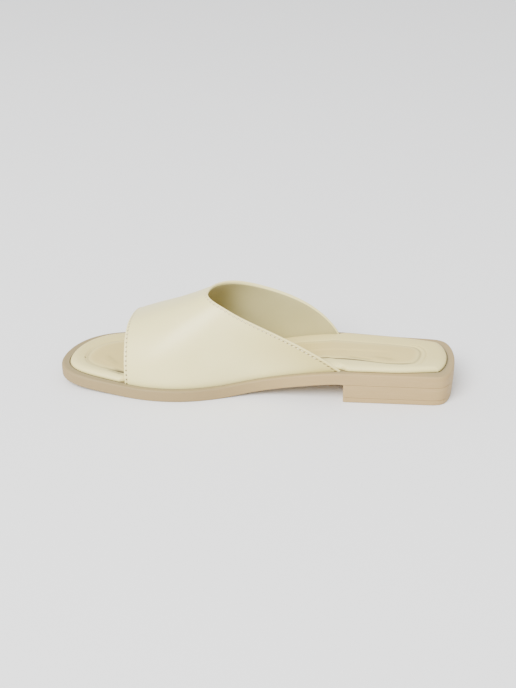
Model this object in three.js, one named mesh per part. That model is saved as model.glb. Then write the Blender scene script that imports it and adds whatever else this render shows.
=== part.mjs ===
// A flat slip-on leather mule for the right foot: a moulded outsole with a rim, a stacked low heel,
// a padded insole and one wide open-toed upper. Millimetres, +X to the toe, +Y to the big-toe side, +Z up.
import * as THREE from "three";

// Outsole and heel
const length = 258;
const width = 88;
const soleThickness = 7.8;
const toeSpring = 4.2;
const heelHeight = 12.6;
const heelLength = 70;
const liftThickness = 3.3;
const heelTaper = 0.4;
const backTaper = 0.9;
const edgeRadius = 0.8;

// Rim round the foot, and the shallow seat inside it that holds upper and insole
const sideRim = 4.5;
const heelRim = 5.2;
const cornerRim = 3.1;
const toeRim = 6;
const rimGroove = 0.6;
const seatDepth = 0.8;
const clearance = 0.3;

// Insole: a board under a padded cover, pressed down along a line inside its border
const insoleEdge = 2.8;
const insoleRound = 1.4;
const innerBorder = 7.5;
const outerBorder = 12.5;
const archBorder = 6;
const heelBorder = 16;
const toeBorder = 10;
const pressDepth = 0.9;
const panelRound = 6;
const panelCrown = 0.7;
const insoleGap = 0.6;
const insoleTuck = 6;

// Upper: one leather band with its lining
const wall = 2;
const throatHeight = 53;
const toeOpening = 47.6;
const frontBow = 2.2;
const vampLength = 53.9;
const innerLength = 138.4;
const outerLength = 135;
const crestShift = 4.4;

// Where the sole bends, as shares of its length
const bend = { ballStart: 0.6, ballEnd: 0.76, springPower: 1.7 };
// Where toe and heel begin to round off, as shares of the length
const ends = { heel: 0.16, toe: 0.75 };
// Where the insole's pressed line bends inwards at the arch, as shares of the length
const arch = { from: 0.12, full: 0.38, fade: 0.5, to: 0.7 };
// Half widths of the foot at heel and ball, as shares of the width
const footHalf = { heel: 0.27, ball: 0.43, heelAt: 0.2, ballAt: 0.65 };
// Where the crest leans to the big-toe side, as shares of the length
const lean = { full: 0.4, none: 0.9 };
// Fullness of the upper at its two feet: 2 is an ellipse, more is squarer
const fullness = { inner: 1.94, outer: 2.56 };
// How late the front edge bows forward on its way to the crest
const bowPower = 1.5;

// Half widths of the outline as shares of the width: the rows turn evenly from the heel's back to the toe
const outlineRows = [
  { inner: 0.315, outer: 0.303 },
  { inner: 0.319, outer: 0.319 },
  { inner: 0.324, outer: 0.326 },
  { inner: 0.335, outer: 0.358 },
  { inner: 0.347, outer: 0.387 },
  { inner: 0.277, outer: 0.416 },
  { inner: 0.465, outer: 0.494 },
  { inner: 0.482, outer: 0.530 },
  { inner: 0.402, outer: 0.495 },
  { inner: 0.361, outer: 0.387 },
  { inner: 0.269, outer: 0.184 },
];
const toeTip = 0.088;

// Height of the form's crest over the rim, as a share of its height at the throat, along the length
const crestRows = [
  { along: 0.26, height: 2.23 },
  { along: 0.36, height: 1.92 },
  { along: 0.46, height: 1.577 },
  { along: 0.56, height: 1.185 },
  { along: 0.66, height: 0.906 },
  { along: 0.76, height: 0.714 },
  { along: 0.86, height: 0.485 },
  { along: 0.95, height: 0.17 },
];

// How far the topline has come from its foot to the throat, against its climb to the crest and past it
const toplineRows = [
  { along: 0, reach: 0 },
  { along: 0.2, reach: 0.44 },
  { along: 0.4, reach: 0.71 },
  { along: 0.6, reach: 0.863 },
  { along: 0.8, reach: 0.976 },
  { along: 1, reach: 1 },
  { along: 1.2, reach: 0.976 },
];

// The panel inside the insole's pressed line, in section:
// shares of its rounding inwards and of its crown upwards
const panelRows = [
  { inwards: 0, up: 0 },
  { inwards: 0.2, up: 0.45 },
  { inwards: 1, up: 1 },
];

// Fineness of the faceted solids
const soleStations = 56;
const heelStations = 26;
const roundSteps = 3;
const acrossSteps = 60;
const alongSteps = 20;

const frontFoot = length - toeOpening;
const throat = frontFoot + frontBow - vampLength;
const seatFoot = clearance - seatDepth;

// A smooth step from 0 at one place to 1 at another
function ease(from, to, at) {
  return THREE.MathUtils.smoothstep((at - from) / (to - from), 0, 1);
}

// A smooth curve through a column of a table, read against its column "along"
function readRows(rows, column, at) {
  const last = rows.length - 1;
  const slope = (k) => {
    const before = rows[Math.max(k - 1, 0)];
    const after = rows[Math.min(k + 1, last)];
    return (after[column] - before[column]) / (after.along - before.along);
  };
  const next = rows.findIndex((row) => row.along > at);
  const i = THREE.MathUtils.clamp((next < 0 ? last : next) - 1, 0, last - 1);
  const span = rows[i + 1].along - rows[i].along;
  const t = (at - rows[i].along) / span;
  const start = rows[i][column] * (1 + 2 * t) * (1 - t) ** 2 + slope(i) * span * t * (1 - t) ** 2;
  const end = rows[i + 1][column] * t * t * (3 - 2 * t) + slope(i + 1) * span * t * t * (t - 1);
  return start + end;
}

// A point of the sole's outline, turning once round from the heel's back by the big-toe side:
// x follows a cosine of the turn, y a closed cubic spline pulled by the table's half widths
function outlinePoint(turn) {
  const inner = outlineRows.map((row) => row.inner);
  const outer = outlineRows.map((row) => -row.outer).reverse();
  const pulls = [0, ...inner, toeTip, ...outer];
  const place = turn * pulls.length;
  const i = Math.floor(place);
  const f = place - i;
  const pull = (k) => pulls[(i + k + pulls.length) % pulls.length];
  const weights = [(1 - f) ** 3, 3 * f ** 3 - 6 * f ** 2 + 4, 1 + 3 * f + 3 * f ** 2 - 3 * f ** 3, f ** 3];
  const share = weights.reduce((sum, weight, k) => sum + weight * pull(k - 1), 0) / 6;
  return new THREE.Vector2((length * (1 - Math.cos(2 * Math.PI * turn))) / 2, width * share);
}

// The outline moved inwards by a width that may change along the foot, as two sides read by x.
// The width is asked for with the place and with the side: 1 is the big-toe side, -1 the other
const outlineSteps = 480;
const outline = Array.from({ length: outlineSteps }, (_, k) => outlinePoint(k / outlineSteps));

function contour(insetAt) {
  const moved = outline.map((point, k) => {
    const before = outline[(k + outlineSteps - 1) % outlineSteps];
    const after = outline[(k + 1) % outlineSteps];
    const ahead = after.clone().sub(before).normalize();
    const inset = insetAt(point.x, Math.sin((2 * Math.PI * k) / outlineSteps));
    return new THREE.Vector2(point.x + ahead.y * inset, point.y - ahead.x * inset);
  });
  const half = outlineSteps / 2;
  const innerSide = moved.slice(0, half + 1);
  const outerSide = [moved[0], ...moved.slice(half).reverse()];
  const across = (side, x) => {
    const next = side.findIndex((point) => point.x > x);
    const i = THREE.MathUtils.clamp((next < 0 ? side.length : next) - 1, 0, side.length - 2);
    const t = THREE.MathUtils.clamp((x - side[i].x) / (side[i + 1].x - side[i].x), 0, 1);
    return THREE.MathUtils.lerp(side[i].y, side[i + 1].y, t);
  };
  return {
    from: moved[0].x,
    to: moved[half].x,
    inner: (x) => across(innerSide, x),
    outer: (x) => across(outerSide, x),
  };
}

// Height of the sole's underside over the floor: level under the heel, down to the ball, up at the toe
function underside(x) {
  const fall = ease(heelLength, bend.ballStart * length, x);
  const rise = Math.max(0, (x / length - bend.ballEnd) / (1 - bend.ballEnd));
  return heelHeight * (1 - fall) + toeSpring * rise ** bend.springPower;
}

function rimLevel(x) {
  return underside(x) + soleThickness;
}

// How far round the heel a place is: 1 at its back, 0 where the sides begin.
// It goes by the root of the place, as the outline turns so quickly there
function roundHeel(x) {
  return 1 - ease(0, Math.sqrt(ends.heel), Math.sqrt(x / length));
}

// Width of the bare rim round the foot. It is widest at the heel's corners, where the foot is rounder
function rimWidth(x) {
  const atToe = ease(ends.toe * length, length, x);
  const atHeel = roundHeel(x);
  const atCorner = 4 * atHeel * (1 - atHeel);
  return sideRim + (toeRim - sideRim) * atToe + (heelRim - sideRim) * atHeel + cornerRim * atCorner;
}

// A closed ring along a contour, its stations closer together towards heel and toe
function ring(line, level, stations, end = line.to) {
  const open = end < line.to;
  const sweep = open ? Math.PI / 2 : Math.PI;
  const reach = open ? end - line.from : (end - line.from) / 2;
  const place = (k) => line.from + reach * (1 - Math.cos((sweep * k) / stations));
  const xs = Array.from({ length: stations + 1 }, (_, k) => place(k));
  const point = (x, y) => new THREE.Vector3(x, y, level(x));
  const tip = point(line.from, line.inner(line.from));
  const sideXs = open ? xs.slice(1) : xs.slice(1, -1);
  const innerSide = sideXs.map((x) => point(x, line.inner(x)));
  const outerSide = sideXs.map((x) => point(x, line.outer(x))).reverse();
  const toe = open ? [] : [point(line.to, line.inner(line.to))];
  return [tip, ...innerSide, ...toe, ...outerSide];
}

// A closed body through rings of equal count. Each end is a strip across its ring,
// which starts at a tip or, on a band's section, at a pair of points
function loft(rings, startsAtTip) {
  const count = rings[0].length;
  const triangles = [];
  const cap = (offset, flip) => {
    for (let i = 0; ; i += 1) {
      const j = count - i - (startsAtTip ? 0 : 1);
      const corners = [i, i + 1, j - 1, j % count];
      if (corners[1] > corners[2]) break;
      const faces = [[corners[0], corners[1], corners[2]], [corners[0], corners[2], corners[3]]];
      const whole = faces.filter((face) => new Set(face).size === 3);
      whole.forEach((face) => triangles.push(...(flip ? face.reverse() : face).map((k) => k + offset)));
    }
  };
  cap(0, false);
  for (let r = 0; r + 1 < rings.length; r += 1) {
    for (let i = 0; i < count; i += 1) {
      const low = r * count + i;
      const lowNext = r * count + ((i + 1) % count);
      triangles.push(low, low + count, lowNext);
      triangles.push(low + count, lowNext + count, lowNext);
    }
  }
  cap((rings.length - 1) * count, true);
  const geometry = new THREE.BufferGeometry().setFromPoints(rings.flat());
  geometry.setIndex(triangles);
  geometry.computeVertexNormals();
  return geometry;
}

// A rounded edge in steps of a quarter turn, from its flat side to its upright side
function roundedEdge(radius) {
  return Array.from({ length: roundSteps + 1 }, (_, k) => {
    const angle = (Math.PI / 2) * (k / roundSteps);
    return { inwards: radius * (1 - Math.sin(angle)), up: radius * (1 - Math.cos(angle)) };
  });
}

function outsole() {
  const rings = [];
  for (const { inwards, up } of roundedEdge(edgeRadius)) {
    rings.push(ring(contour(() => inwards), (x) => underside(x) + up, soleStations));
  }
  for (const { inwards, up } of roundedEdge(edgeRadius).reverse()) {
    rings.push(ring(contour(() => inwards), (x) => rimLevel(x) - up, soleStations));
  }
  const seat = contour((x) => rimWidth(x) - rimGroove);
  rings.push(ring(seat, rimLevel, soleStations));
  rings.push(ring(seat, (x) => rimLevel(x) - seatDepth, soleStations));
  return loft(rings, true);
}

// The heel narrows a little towards the floor, most at its back
function heelRing(z, inwards) {
  const line = contour((x) => {
    const taper = heelTaper + (backTaper - heelTaper) * roundHeel(x);
    return taper * (1 - z / heelHeight) + inwards;
  });
  return ring(line, () => z, heelStations, heelLength);
}

function heelBlock() {
  const levels = [liftThickness + clearance, heelHeight - clearance];
  return loft(levels.map((z) => heelRing(z, 0)), true);
}

function heelTopLift() {
  const rounded = roundedEdge(edgeRadius).map(({ inwards, up }) => heelRing(up, inwards));
  return loft([...rounded, heelRing(liftThickness, 0)], true);
}

// The insole steps in behind and before the upper, whose wall stands between it and the rim
function insoleInset(x, side) {
  const rear = frontFoot - (side > 0 ? innerLength : outerLength);
  const behind = ease(rear - insoleTuck, rear - clearance, x);
  const before = 1 - ease(frontFoot + clearance, frontFoot + insoleTuck, x);
  return rimWidth(x) + (wall + insoleGap) * behind * before;
}

// The insole's pressed line: its edge drawn in by the border's widths, wider at the arch
function pressedLine(inwards) {
  const edge = contour(insoleInset);
  const from = edge.from + heelBorder + inwards;
  const to = edge.to - toeBorder - inwards;
  const back = (x) => edge.from + ((x - from) * (edge.to - edge.from)) / (to - from);
  const keep = (border, x) => {
    const atBall = ease(footHalf.heelAt * length, footHalf.ballAt * length, x);
    const half = width * THREE.MathUtils.lerp(footHalf.heel, footHalf.ball, atBall);
    return 1 - (border + inwards) / half;
  };
  const archBend = (x) => {
    const bent = ease(arch.from * length, arch.full * length, x);
    return archBorder * bent * (1 - ease(arch.fade * length, arch.to * length, x));
  };
  return {
    from,
    to,
    inner: (x) => edge.inner(back(x)) * keep(innerBorder + archBend(x), x),
    outer: (x) => edge.outer(back(x)) * keep(outerBorder, x),
  };
}

function insole() {
  const rings = [];
  const at = (line, up) => rings.push(ring(line, (x) => rimLevel(x) + up, soleStations));
  at(contour(insoleInset), seatFoot);
  for (const { inwards, up } of roundedEdge(insoleRound).reverse()) {
    at(contour((x, side) => insoleInset(x, side) + inwards), insoleEdge - up);
  }
  for (const row of panelRows) {
    at(pressedLine(panelRound * row.inwards), insoleEdge - pressDepth + panelCrown * row.up);
  }
  return loft(rings, true);
}

// A point of the last under the upper, drawn in by an inset: each section across the foot runs from
// the rim on the big-toe side (0) over the crest to the other side (1), as a superellipse
// whose fullness changes on the way
const footLine = contour(rimWidth);

function formPoint(x, turn, inset) {
  const angle = Math.PI * turn;
  const side = Math.cos(angle);
  const shift = crestShift * (1 - ease(lean.full * length, lean.none * length, x));
  const half = side < 0 ? shift - footLine.outer(x) : footLine.inner(x) - shift;
  const power = 2 / THREE.MathUtils.lerp(fullness.outer, fullness.inner, ease(-1, 1, side));
  const crest = throatHeight * readRows(crestRows, "height", x / length) - seatFoot;
  const y = shift + Math.sign(side) * (half - inset) * Math.abs(side) ** power;
  const z = rimLevel(x) + seatFoot + (crest - inset) * Math.sin(angle) ** power;
  return new THREE.Vector3(x, y, z);
}

function toplineX(turn) {
  const rear = frontFoot - (turn < 0.5 ? innerLength : outerLength);
  const climb = 1 - Math.abs(1 - 2 * turn);
  return rear + (throat - rear) * readRows(toplineRows, "reach", climb);
}

function frontX(turn) {
  return frontFoot + frontBow * Math.sin(Math.PI * turn) ** bowPower;
}

function upper() {
  const turns = Array.from({ length: acrossSteps + 1 }, (_, k) => k / acrossSteps);
  const rings = [];
  for (let step = 0; step <= alongSteps; step += 1) {
    const place = (turn) => THREE.MathUtils.lerp(frontX(turn), toplineX(turn), step / alongSteps);
    const outside = turns.map((turn) => formPoint(place(turn), turn, 0));
    const inside = turns.map((turn) => formPoint(place(turn), turn, wall)).reverse();
    rings.push([...outside, ...inside]);
  }
  return loft(rings, false);
}

const rubber = new THREE.MeshStandardMaterial({ color: "#cdbca5", roughness: 0.75, metalness: 0 });
const cover = new THREE.MeshStandardMaterial({ color: "#d9ceb6", roughness: 0.55, metalness: 0 });
const leather = new THREE.MeshStandardMaterial({ color: "#e2dbc8", roughness: 0.45, metalness: 0 });

const pieces = [
  { name: "outsole", geometry: outsole(), material: rubber },
  { name: "heel_block", geometry: heelBlock(), material: rubber },
  { name: "heel_top_lift", geometry: heelTopLift(), material: rubber },
  { name: "insole", geometry: insole(), material: cover },
  { name: "upper", geometry: upper(), material: leather },
];

// The part's origin is on the floor under the middle of its outline
const shoe = new THREE.Group();
const box = new THREE.Box2().setFromPoints(outline);
const middle = box.getCenter(new THREE.Vector2());
shoe.position.set(-middle.x, -middle.y, 0);
for (const { name, geometry, material } of pieces) {
  const mesh = new THREE.Mesh(geometry, material);
  mesh.name = name;
  shoe.add(mesh);
}

export default shoe;
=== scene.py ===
import bpy
import numpy as np
from mathutils import Matrix, Vector


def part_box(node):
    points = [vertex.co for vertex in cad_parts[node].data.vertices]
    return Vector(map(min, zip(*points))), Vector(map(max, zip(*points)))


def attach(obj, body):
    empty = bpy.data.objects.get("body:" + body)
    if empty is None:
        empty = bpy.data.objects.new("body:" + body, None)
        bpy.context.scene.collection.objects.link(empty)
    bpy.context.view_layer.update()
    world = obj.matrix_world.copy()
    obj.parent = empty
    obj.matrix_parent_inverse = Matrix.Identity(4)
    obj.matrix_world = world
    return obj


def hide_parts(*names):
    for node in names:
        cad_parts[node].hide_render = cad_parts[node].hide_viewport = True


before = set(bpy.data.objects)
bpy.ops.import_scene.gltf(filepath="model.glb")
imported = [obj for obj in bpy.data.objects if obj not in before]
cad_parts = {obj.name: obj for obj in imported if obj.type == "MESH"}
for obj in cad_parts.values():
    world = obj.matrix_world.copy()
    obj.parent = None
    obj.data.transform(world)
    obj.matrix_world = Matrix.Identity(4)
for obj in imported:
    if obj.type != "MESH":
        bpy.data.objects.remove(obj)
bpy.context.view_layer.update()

# Sizes read off the frame
sole_low, sole_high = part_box("outsole")
block_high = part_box("heel_block")[1]
lift_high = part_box("heel_top_lift")[1]
band_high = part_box("upper")[1]

LENGTH = sole_high.x - sole_low.x
MM = LENGTH / 258
CLEARANCE = 0.3 * MM
HEEL_LENGTH = block_high.x - sole_low.x
HEEL_HEIGHT = block_high.z + CLEARANCE
LIFT_THICKNESS = lift_high.z
SOLE_THICKNESS = sole_high.z - HEEL_HEIGHT

# Sole and heel
TOE_SPRING = 4.2 * MM
HEEL_TAPER = 0.4 * MM
BACK_TAPER = 0.9 * MM
LOWER_ROUND = 0.8 * MM
UPPER_ROUND = 1.1 * MM
WALL_BULGE = 0.1 * MM
SEAM_ROUND = 0.24 * MM
SEAM = 0.1 * MM
SIDE_RIM = 4.5 * MM
HEEL_RIM = 5.2 * MM
CORNER_RIM = 3.1 * MM
TOE_RIM = 6 * MM
RIM_GROOVE = 0.9 * MM
SEAT_DEPTH = 0.8 * MM
TREAD_PITCH = 5.2 * MM
TREAD_DEPTH = 0.55 * MM
TREAD_MARGIN = 7 * MM
TREAD_SWEEP = 0.004 / MM
BREAST_FADE = 8 * MM
BREAST_BARE = 5 * MM
BREAST_REACH = 1.2 * MM
BREAST_ROUND = 1.08 * MM
TOE_ROUNDER = 1.8
SPINE_KEEP = 0.86
HEEL_RIM_SHADE = 0.2
OPEN_DIRT_AND_SHADE = 0.35

# Insole
INSOLE_EDGE = 2.8 * MM
INSOLE_ROLL = 2.3 * MM
ROLL_WIDTH = 5 * MM
INNER_BORDER = 7.5 * MM
OUTER_BORDER = 12.5 * MM
ARCH_BORDER = 6 * MM
HEEL_BORDER = 16 * MM
TOE_BORDER = 10 * MM
PRESS_DEPTH = 1.1 * MM
PRESS_WIDTH = 0.75 * MM
PRESS_LEAN = 0.9 * MM
PRESS_SHADE = 1.05 * MM
PRESS_SHARE = {"outer side": 0.2, "heel": 0.25, "toe": 0.25}
PRESS_HEEL = {"from": 24 * MM, "to": 36 * MM}
PRESS_TOE = {"from": 0.8 * LENGTH, "to": 0.9 * LENGTH}
PRESS_SIDES = 8 * MM
SECOND_PRESS = {"behind": 2.9 * MM, "width": 0.6 * MM, "share": 0.45}
HEEL_CORNER = {"at": 33 * MM, "width": 16 * MM, "fuller": 2.8 * MM}
BORDER_PUFF = 0.35 * MM
PANEL_CROWN = 0.45 * MM
PANEL_ROUND = 4 * MM
PANEL_SINK = 0.45
WRINKLE_DEPTH = 0.34 * MM
WRINKLE_SHADE = 0.6
OUTER_TONE = {"full": 2 * MM, "none": 24 * MM, "share": 0.5}
PIN_RADIUS = 0.55 * MM
INSOLE_GAP = 0.6 * MM
INSOLE_TUCK = 6 * MM

# Upper
WALL = 2 * MM
FRONT_BOW = 2.2 * MM
VAMP_LENGTH = 53.57 * MM
INNER_LENGTH = 138.4 * MM
OUTER_LENGTH = 135 * MM
THROAT_HEIGHT = 53 * MM
CREST_SHIFT = 4.4 * MM
FRONT_FOOT = band_high.x - sole_low.x - FRONT_BOW
THROAT = band_high.x - sole_low.x - VAMP_LENGTH
SEAT_FOOT = CLEARANCE - SEAT_DEPTH
EDGE_MARGIN = 8 * MM
FOLD_HIGHLIGHT_WIDTH = 1.1 * MM
EDGE_BEAD = {"in": 0.81 * MM, "width": 0.7 * MM, "rise": 0.12 * MM}
SEW_INSET = 1.8 * MM
SEW_PITCH = 3 * MM
SEW_GROOVE = {"width": 0.5 * MM, "depth": 0.16 * MM}
SEWN_ROW = 0.6 * MM
SEWN_FROM, SEWN_TO = 0.03, 0.97
HOLE_RADIUS = 0.42 * MM
THREAD_RADIUS = 0.3 * MM
THREAD_RISE = 0.2 * MM
THREAD_DIP = 0.16 * MM
THREAD_START, THREAD_END = 0.17, 0.83
LINING_INSET = 0.8 * MM
LINING_LAP = 0.1 * MM
LINING_THICKNESS = 0.3 * MM
BAND_SPREAD = {"along": 100 * MM, "over": 150 * MM}

# The stage in metres and watts, the camera's angles in degrees, its lens and its slide in mm
FLOOR = {"flat": 3.2, "curve": 0.35, "sink": 0.00005}
WINDOW = {"place": (0.9, 2.0, 2.15), "aim": (0, 0, 0.03), "size": 2.0, "power": 170}
WINDOW_COLOUR = (1.0, 0.99, 0.97)
ROOM_LIGHT = 1.2
CAMERA = {"pitch": 26.16, "turn": -7.6, "roll": -0.64, "lens": 58.67}
CAMERA_SLIDE = {"back": 746.12, "right": 1.11, "up": 21.55}

# Places along the length, as shares of it, and what the half widths are there
BALL_START, BALL_END = 0.6, 0.76
HEEL_END, TOE_START = 0.16, 0.75
ARCH_FROM, ARCH_FULL, ARCH_FADE, ARCH_TO = 0.12, 0.38, 0.5, 0.7
TREAD_FROM, TREAD_FULL, TREAD_FADE, TREAD_TO = 0.6, 0.63, 0.92, 0.95
TREAD_BACK = 0.02
ARCH_MIDDLE = 0.3
FOOT_HEEL, FOOT_BALL = {"at": 0.2, "half": 0.27}, {"at": 0.65, "half": 0.43}
LEAN_FULL, LEAN_NONE = 0.4, 0.9
PIN = {"along": 0.939, "across": 0.109}

# How curves swell: the toe's spring, the bow of the band's front edge, and its section on each side
SPRING_POWER = 1.7
BOW_POWER = 1.5
INNER_FULLNESS, OUTER_FULLNESS = 1.94, 2.56

# The rim from its outer corner (0) to the groove beside the upper (1): its dip in mm, its painted shade,
# and its painted shade in the groove
RIM_PROFILE = [
    {"across": 0.35, "dip": 0.05, "rim_shade": 0.5, "dirt": 0.0},
    {"across": 0.6, "dip": 0.12, "rim_shade": 0.55, "dirt": 0.0},
    {"across": 0.8, "dip": 0.12, "rim_shade": 0.75, "dirt": 0.1},
    {"across": 0.93, "dip": 0.06, "rim_shade": 0.9, "dirt": 0.55},
]

# Half widths of the outline as shares of the width, evenly round from the heel's back to the toe
OUTLINE = [
    {"inner": 0.315, "outer": 0.303},
    {"inner": 0.319, "outer": 0.319},
    {"inner": 0.324, "outer": 0.326},
    {"inner": 0.335, "outer": 0.358},
    {"inner": 0.347, "outer": 0.387},
    {"inner": 0.277, "outer": 0.416},
    {"inner": 0.465, "outer": 0.494},
    {"inner": 0.482, "outer": 0.530},
    {"inner": 0.402, "outer": 0.495},
    {"inner": 0.361, "outer": 0.387},
    {"inner": 0.269, "outer": 0.184},
]
TOE_TIP = 0.088

# Height of the form's crest over the rim, as a share of the throat's, along the length
CREST = [
    {"along": 0.26, "height": 2.23},
    {"along": 0.36, "height": 1.92},
    {"along": 0.46, "height": 1.577},
    {"along": 0.56, "height": 1.185},
    {"along": 0.66, "height": 0.906},
    {"along": 0.76, "height": 0.714},
    {"along": 0.86, "height": 0.485},
    {"along": 0.95, "height": 0.17},
]

# How far the topline has come from its foot to the throat, against its climb to the crest
TOPLINE = [
    {"along": 0.0, "reach": 0.0},
    {"along": 0.2, "reach": 0.441},
    {"along": 0.4, "reach": 0.705},
    {"along": 0.6, "reach": 0.858},
    {"along": 0.8, "reach": 0.962},
    {"along": 1.0, "reach": 1.0},
]

# Soft troughs and ridges of the upper, laid one by one. Ends are shares of the way from the front edge to
# the topline and of the way over the foot from the big-toe side; width and rise are in mm.
BAND_FOLDS = [
    {"from": (0.10, 0.10), "to": (0.72, 0.36), "width": 9.0, "rise": 0.45},
    {"from": (0.18, 0.04), "to": (0.86, 0.20), "width": 6.0, "rise": -0.30},
    {"from": (0.55, 0.06), "to": (0.92, 0.10), "width": 4.5, "rise": 0.22},
    {"from": (0.20, 0.58), "to": (0.80, 0.70), "width": 8.0, "rise": -0.30},
    {"from": (0.62, 0.80), "to": (0.90, 0.86), "width": 3.5, "rise": -0.35},
    {"from": (0.30, 0.88), "to": (0.75, 0.95), "width": 5.0, "rise": 0.25},
]

# Wrinkles of the insole's cover, laid one by one. Ends are shares of the sole's length and width; width and
# rise are in mm.
INSOLE_FOLDS = [
    {"from": (0.275, 0.135), "to": (0.225, 0.152), "width": 1.3, "rise": 0.28},
    {"from": (0.262, 0.116), "to": (0.205, 0.136), "width": 1.6, "rise": -0.22},
    {"from": (0.235, 0.100), "to": (0.180, 0.130), "width": 1.4, "rise": 0.20},
    {"from": (0.200, 0.090), "to": (0.150, 0.120), "width": 1.6, "rise": -0.16},
    {"from": (0.895, 0.090), "to": (0.855, 0.190), "width": 2.0, "rise": 0.16},
    {"from": (0.885, 0.040), "to": (0.850, 0.150), "width": 1.8, "rise": -0.14},
    {"from": (0.868, 0.258), "to": (0.826, 0.312), "width": 1.1, "rise": -0.34},
    {"from": (0.878, 0.236), "to": (0.842, 0.276), "width": 1.0, "rise": 0.26},
    {"from": (0.852, 0.230), "to": (0.820, 0.262), "width": 1.2, "rise": -0.24},
]


def ease(start, end, at):
    """A smooth step from 0 at start to 1 at end: 3 t squared less 2 t cubed."""
    t = np.clip((at - start) / (end - start), 0, 1)
    return t * t * (3 - 2 * t)


def between(start, full, fading, end, at):
    """A smooth rise from 0 at start to 1 at full, and a smooth fall from 1 at fading to 0 at end."""
    return ease(start, full, at) * (1 - ease(fading, end, at))


def mix(a, b, share):
    """The value that lies this share of the way from a to b."""
    return a + (b - a) * share


def hump(distance, width):
    """A bell: e to the power of minus the squared distance in widths."""
    return np.exp(-((distance / width) ** 2))


def read_rows(rows, column, at, level_end=False):
    """The cubic spline through a column of a table, read against its column along. Its bends at the rows
    are in balance: h0 b0 + 2 (h0 + h1) b1 + h1 b2 = 6 (slope after - slope before) for each three rows.
    The first row has no bend; the last has none either, or else the curve ends level there."""
    along = np.array([row["along"] for row in rows])
    value = np.array([row[column] for row in rows])
    span = np.diff(along)
    slope = np.diff(value) / span
    last = len(rows) - 1
    inner = np.arange(1, last)
    balance = np.eye(last + 1)
    balance[inner, inner - 1] = span[:-1]
    balance[inner, inner] = 2 * (span[:-1] + span[1:])
    balance[inner, inner + 1] = span[1:]
    pull = np.zeros(last + 1)
    pull[inner] = 6 * np.diff(slope)
    if level_end:
        balance[last, last - 1 :] = span[-1], 2 * span[-1]
        pull[last] = -6 * slope[-1]
    bend = np.linalg.solve(balance, pull)
    i = np.clip(np.searchsorted(along, at, side="right") - 1, 0, last - 1)
    before, after = (at - along[i]) / span[i], (along[i + 1] - at) / span[i]
    bent = (before**3 - before) * bend[i + 1] + (after**3 - after) * bend[i]
    return before * value[i + 1] + after * value[i] + bent * span[i] ** 2 / 6


def half_width_share(turns):
    """The outline's place across the foot as a share of the width: a closed cubic B-spline, even in the
    turn, whose control values are the table's half widths, minus on the outer side."""
    inner = [row["inner"] for row in OUTLINE]
    outer = [-row["outer"] for row in reversed(OUTLINE)]
    pulls = np.array([0, *inner, TOE_TIP, *outer])
    place = (turns % 1) * len(pulls)
    i = np.floor(place).astype(int)
    f = place - i
    weights = [(1 - f) ** 3, 3 * f**3 - 6 * f**2 + 4, 1 + 3 * f + 3 * f**2 - 3 * f**3, f**3]
    return sum(weight * pulls[(i + k - 1) % len(pulls)] for k, weight in enumerate(weights)) / 6


shares = half_width_share(np.arange(4800) / 4800)
WIDTH = (sole_high.y - sole_low.y) / (shares.max() - shares.min())
ORIGIN = np.array([sole_low.x, sole_low.y - WIDTH * shares.min(), 0])


def outline(turns, inset=0):
    """The sole's outline moved inwards by an inset, at turns that start at the heel's back and go round
    by the big-toe side: x is the length times (1 - cos 2 pi t) / 2, y the width times the spline."""
    step = 1e-4

    def point(t):
        return np.stack([LENGTH * (1 - np.cos(2 * np.pi * t)) / 2, WIDTH * half_width_share(t)], -1)

    ahead = point(turns + step) - point(turns - step)
    ahead /= np.linalg.norm(ahead, axis=-1, keepdims=True)
    inwards = np.stack([ahead[..., 1], -ahead[..., 0]], -1)
    return point(turns) + inwards * np.expand_dims(inset * np.ones_like(turns), -1)


def two_sides(inset_at):
    """The outline moved inwards, as two functions of x: the big-toe side and the outer side."""

    def side(turns):
        line = outline(turns, inset_at(outline(turns)[:, 0]))
        return lambda x: np.interp(x, line[:, 0], line[:, 1])

    turns = np.linspace(0, 0.5, 721)
    return side(turns), side(1 - turns)


def underside(x):
    """Height of the sole's underside: level under the heel, a smooth step down to the ball, and up again
    at the toe by the way past the ball raised to a power."""
    fall = ease(HEEL_LENGTH, BALL_START * LENGTH, x)
    rise = np.clip((x / LENGTH - BALL_END) / (1 - BALL_END), 0, None)
    return HEEL_HEIGHT * (1 - fall) + TOE_SPRING * rise**SPRING_POWER


def rim_level(x):
    """Height of the sole's upper face."""
    return underside(x) + SOLE_THICKNESS


def round_heel(x):
    """1 at the heel's back, 0 where the sides begin, by the root of the place."""
    return 1 - ease(0, np.sqrt(HEEL_END), np.sqrt(np.clip(x, 0, None) / LENGTH))


def rim_width(x):
    """Width of the bare rim: wider at toe and heel, and widest at the heel's corners."""
    at_heel = round_heel(x)
    at_toe = ease(TOE_START * LENGTH, LENGTH, x)
    at_corner = 4 * at_heel * (1 - at_heel)
    wider = (TOE_RIM - SIDE_RIM) * at_toe + (HEEL_RIM - SIDE_RIM) * at_heel
    return SIDE_RIM + wider + CORNER_RIM * at_corner


foot_inner, foot_outer = two_sides(rim_width)


def form(x, turn, inset=0):
    """The last under the upper: at each x a section from the big-toe side (turn 0) over the crest to the
    other side (turn 1), |cos| and sin of pi times the turn raised to 2 over the fullness."""
    side, up = np.cos(np.pi * turn), np.clip(np.sin(np.pi * turn), 0, 1)
    lean = CREST_SHIFT * (1 - ease(LEAN_FULL * LENGTH, LEAN_NONE * LENGTH, x))
    half = np.where(side < 0, lean - foot_outer(x), foot_inner(x) - lean)
    power = 2 / mix(OUTER_FULLNESS, INNER_FULLNESS, ease(-1, 1, side))
    crest = THROAT_HEIGHT * read_rows(CREST, "height", x / LENGTH) - SEAT_FOOT
    y = lean + np.sign(side) * (half - inset) * np.abs(side) ** power
    z = rim_level(x) + SEAT_FOOT + (crest - inset) * up**power
    return np.stack([x, y, z], -1)


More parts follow.
